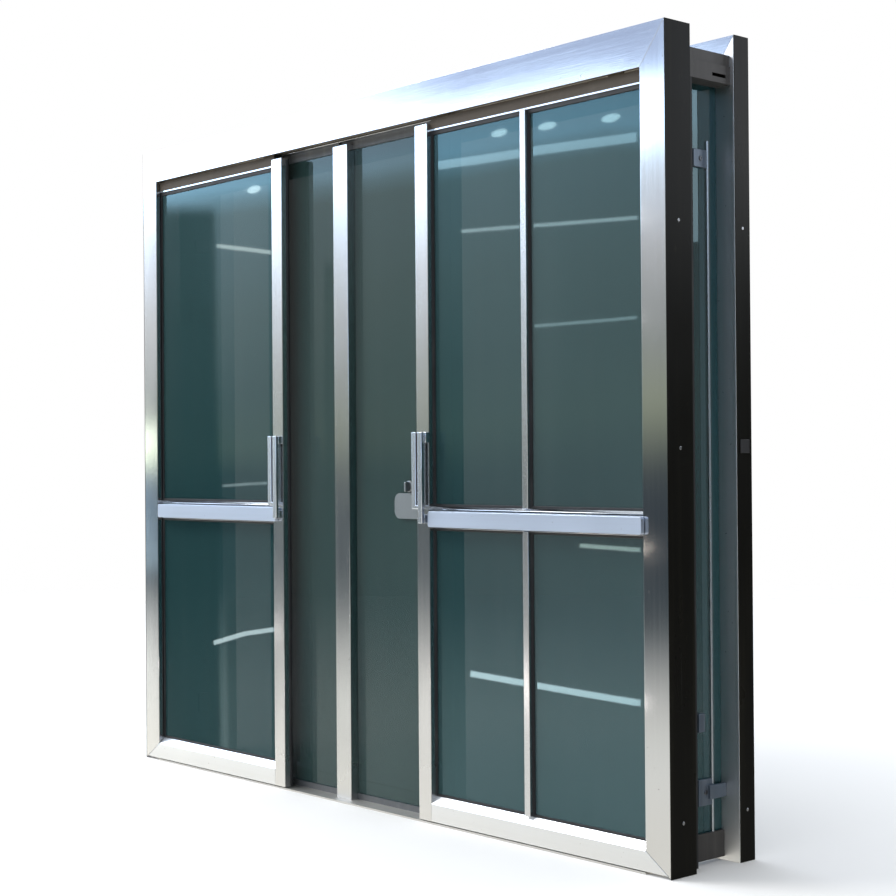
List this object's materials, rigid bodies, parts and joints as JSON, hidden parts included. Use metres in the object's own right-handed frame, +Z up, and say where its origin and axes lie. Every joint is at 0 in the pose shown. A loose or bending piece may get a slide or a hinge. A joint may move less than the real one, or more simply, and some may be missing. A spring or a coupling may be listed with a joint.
{
  "type": "sliding door unit",
  "caption": "Stainless steel glazed sliding door unit: hung leaves with push rails and pulls slide over a fixed centre light, in a deep double surround.",
  "frame": {"origin": "middle of the base, on the floor", "axes": "+Z up, front toward -Y, +X to the right seen from the front"},
  "size_m": [2.756, 0.396, 2.4],
  "materials": {
    "satin_steel": "satin brushed stainless steel",
    "push_steel": "brushed along its length",
    "fitting_steel": "satin",
    "fastener_steel": "polished heads",
    "clamp_steel": "blue grey satin",
    "grey_steel": "dark grey, semi matte",
    "dark_cover": "near black, semi gloss",
    "sill_steel": "worn satin",
    "track_aluminium": "mill finish",
    "nylon": "black nylon",
    "gasket_rubber": "matte black",
    "leaf_glass": "grey-green tint",
    "fixed_glass": "grey-green tint"
  },
  "bodies": {
    "surround": {"clamp_screws": "fastener_steel", "cover_screws": "fastener_steel", "duct_lid": "grey_steel", "duct_tray": "grey_steel", "edge_rods": "fitting_steel", "end_covers": "dark_cover", "end_ties": "grey_steel", "floor_guides": "nylon", "front_header": "satin_steel", "front_left_post": "satin_steel", "front_right_post": "satin_steel", "front_sill": "sill_steel", "glass_clamps": "clamp_steel", "header_track": "track_aluminium", "light_channels": "grey_steel", "light_jambs": "grey_steel", "light_panes": "fixed_glass", "lock_case": "fitting_steel", "mullion": "satin_steel", "rear_header": "satin_steel", "rear_left_post": "satin_steel", "rear_right_post": "satin_steel", "rear_sill": "sill_steel", "side_panes": "fixed_glass", "strike_plates": "dark_cover", "track_brackets": "track_aluminium", "track_stops": "track_aluminium"},
    "left_leaf": {"left_bottom_rail": "satin_steel", "left_gaskets": "gasket_rubber", "left_grips": "fitting_steel", "left_handle_brackets": "fitting_steel", "left_hanger_bolts": "fastener_steel", "left_hangers": "satin_steel", "left_lower_glass": "leaf_glass", "left_meeting_stile": "satin_steel", "left_mid_rail": "satin_steel", "left_push_rail": "push_steel", "left_top_rail": "satin_steel", "left_upper_glass": "leaf_glass"},
    "right_leaf": {"right_bottom_rail": "satin_steel", "right_gaskets": "gasket_rubber", "right_grips": "fitting_steel", "right_handle_brackets": "fitting_steel", "right_hanger_bolts": "fastener_steel", "right_hangers": "satin_steel", "right_lower_glass": "leaf_glass", "right_meeting_stile": "satin_steel", "right_mid_rail": "satin_steel", "right_push_rail": "push_steel", "right_top_rail": "satin_steel", "right_upper_glass": "leaf_glass", "glazing_bar": "satin_steel", "lock_keeper": "fitting_steel"},
    "left_inner_wheels": {"left_inner_roller": "nylon"},
    "left_outer_wheels": {"left_outer_roller": "nylon"},
    "right_inner_wheels": {"right_inner_roller": "nylon"},
    "right_outer_wheels": {"right_outer_roller": "nylon"},
    "thumb_turn": {"thumb_turn": "fitting_steel"},
    "lock_bolt": {"lock_bolt": "fitting_steel"}
  },
  "joints": [
    {"name": "left_leaf_slide", "type": "slide", "parent": "surround", "child": "left_leaf", "axis": [1, 0, 0], "range_m": [0, 0.355]},
    {"name": "right_leaf_slide", "type": "slide", "parent": "surround", "child": "right_leaf", "axis": [-1, 0, 0], "range_m": [0, 0.355]},
    {"name": "left_inner_roll", "type": "hinge", "parent": "left_leaf", "child": "left_inner_wheels", "pos_m": [-0.551, -0.144, 2.2978], "axis": [0, 1, 0], "range_deg": [-5, 1705]},
    {"name": "left_outer_roll", "type": "hinge", "parent": "left_leaf", "child": "left_outer_wheels", "pos_m": [-1.167, -0.144, 2.2978], "axis": [0, 1, 0], "range_deg": [-5, 1705]},
    {"name": "right_inner_roll", "type": "hinge", "parent": "right_leaf", "child": "right_inner_wheels", "pos_m": [0.407, -0.144, 2.2978], "axis": [0, -1, 0], "range_deg": [-5, 1705]},
    {"name": "right_outer_roll", "type": "hinge", "parent": "right_leaf", "child": "right_outer_wheels", "pos_m": [1.167, -0.144, 2.2978], "axis": [0, -1, 0], "range_deg": [-5, 1705]},
    {"name": "thumb_turn", "type": "hinge", "parent": "surround", "child": "thumb_turn", "pos_m": [0.177, -0.11, 1.084], "axis": [0, 1, 0], "range_deg": [0, 90]},
    {"name": "lock_bolt_slide", "type": "slide", "parent": "surround", "child": "lock_bolt", "axis": [0, 0, -1], "range_m": [0, 0.014]}
  ],
  "couplings": [
    {"joint": "left_inner_roll", "follows": "left_leaf_slide", "rad_per_m": 83.333},
    {"joint": "left_outer_roll", "follows": "left_leaf_slide", "rad_per_m": 83.333},
    {"joint": "right_inner_roll", "follows": "right_leaf_slide", "rad_per_m": 83.333},
    {"joint": "right_outer_roll", "follows": "right_leaf_slide", "rad_per_m": 83.333},
    {"joint": "lock_bolt_slide", "follows": "thumb_turn", "m_per_rad": 0.0089127}
  ]
}
